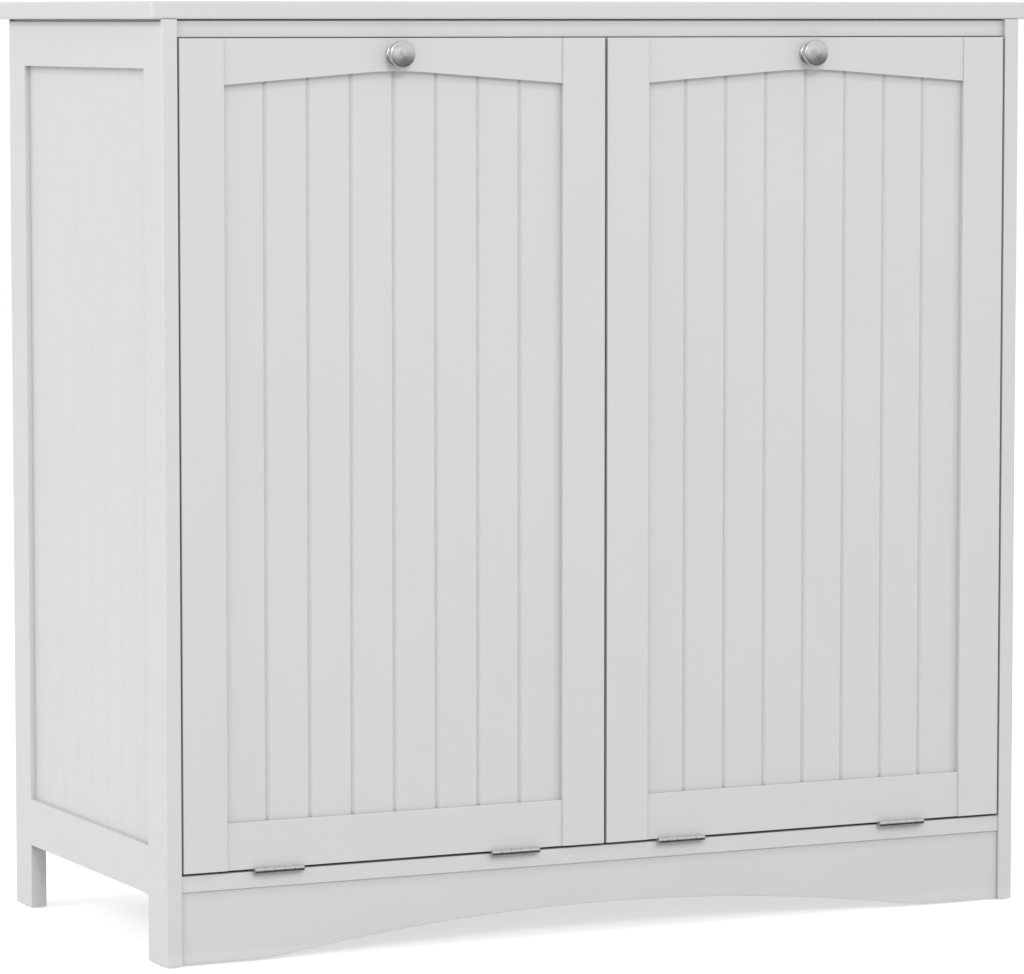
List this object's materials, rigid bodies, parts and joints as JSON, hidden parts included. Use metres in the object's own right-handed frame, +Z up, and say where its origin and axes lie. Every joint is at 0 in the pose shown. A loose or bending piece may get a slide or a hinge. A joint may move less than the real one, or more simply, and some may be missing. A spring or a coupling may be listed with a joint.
{
  "type": "laundry hamper cabinet",
  "caption": "Free-standing white laundry hamper cabinet with beadboard doors that tilt out on bottom hinges, each carrying a cloth bag on a rod frame.",
  "frame": {"origin": "centre of the overall box's footprint, on the floor under the glides", "axes": "+X to the right along the front as seen from the front, +Y from the doors to the back, +Z up"},
  "size_m": [0.9, 0.4264, 0.868],
  "materials": {
    "white_paint": "satin white paint on board",
    "beech": "bare beech",
    "satin_nickel": "satin nickel, turned",
    "zinc_plated_steel": "bright zinc plating",
    "white_plastic": "fine matte moulding",
    "ferrite": "pressed ferrite",
    "bag_cloth": "plain-woven cotton canvas"
  },
  "bodies": {
    "cabinet": {"back_panel": "white_paint", "cabinet_screws": "zinc_plated_steel", "carcass_dowels": "beech", "catch_magnets": "ferrite", "centre_divider": "white_paint", "floor_panel": "white_paint", "foot_glides": "white_plastic", "front_apron": "white_paint", "hinge_fixed_leaves": "satin_nickel", "hinge_pins": "satin_nickel", "left_front_post": "white_paint", "left_rear_post": "white_paint", "left_side_bottom_rail": "white_paint", "left_side_panel": "white_paint", "left_side_top_rail": "white_paint", "magnetic_catches": "white_plastic", "right_front_post": "white_paint", "right_rear_post": "white_paint", "right_side_bottom_rail": "white_paint", "right_side_panel": "white_paint", "right_side_top_rail": "white_paint", "stay_guides": "white_plastic", "top_front_rail": "white_paint", "top_panel": "white_paint", "top_rear_rail": "white_paint"},
    "left_door": {"left_bag": "bag_cloth", "left_bag_frame": "zinc_plated_steel", "left_door_bottom_rail": "white_paint", "left_door_left_stile": "white_paint", "left_door_panel": "white_paint", "left_door_right_stile": "white_paint", "left_door_screws": "zinc_plated_steel", "left_door_top_rail": "white_paint", "left_frame_saddles": "zinc_plated_steel", "left_hinge_leaves": "satin_nickel", "left_knob": "satin_nickel", "left_knob_screw": "zinc_plated_steel", "left_stay_arm": "zinc_plated_steel", "left_strike_plate": "zinc_plated_steel"},
    "right_door": {"right_bag": "bag_cloth", "right_bag_frame": "zinc_plated_steel", "right_door_bottom_rail": "white_paint", "right_door_left_stile": "white_paint", "right_door_panel": "white_paint", "right_door_right_stile": "white_paint", "right_door_screws": "zinc_plated_steel", "right_door_top_rail": "white_paint", "right_frame_saddles": "zinc_plated_steel", "right_hinge_leaves": "satin_nickel", "right_knob": "satin_nickel", "right_knob_screw": "zinc_plated_steel", "right_stay_arm": "zinc_plated_steel", "right_strike_plate": "zinc_plated_steel"}
  },
  "joints": [
    {"name": "left_door_tilt", "type": "hinge", "parent": "cabinet", "child": "left_door", "pos_m": [-0.21215, -0.19795, 0.08415], "axis": [1, 0, 0], "range_deg": [0, 40]},
    {"name": "right_door_tilt", "type": "hinge", "parent": "cabinet", "child": "right_door", "pos_m": [0.21215, -0.19795, 0.08415], "axis": [1, 0, 0], "range_deg": [0, 40]}
  ]
}
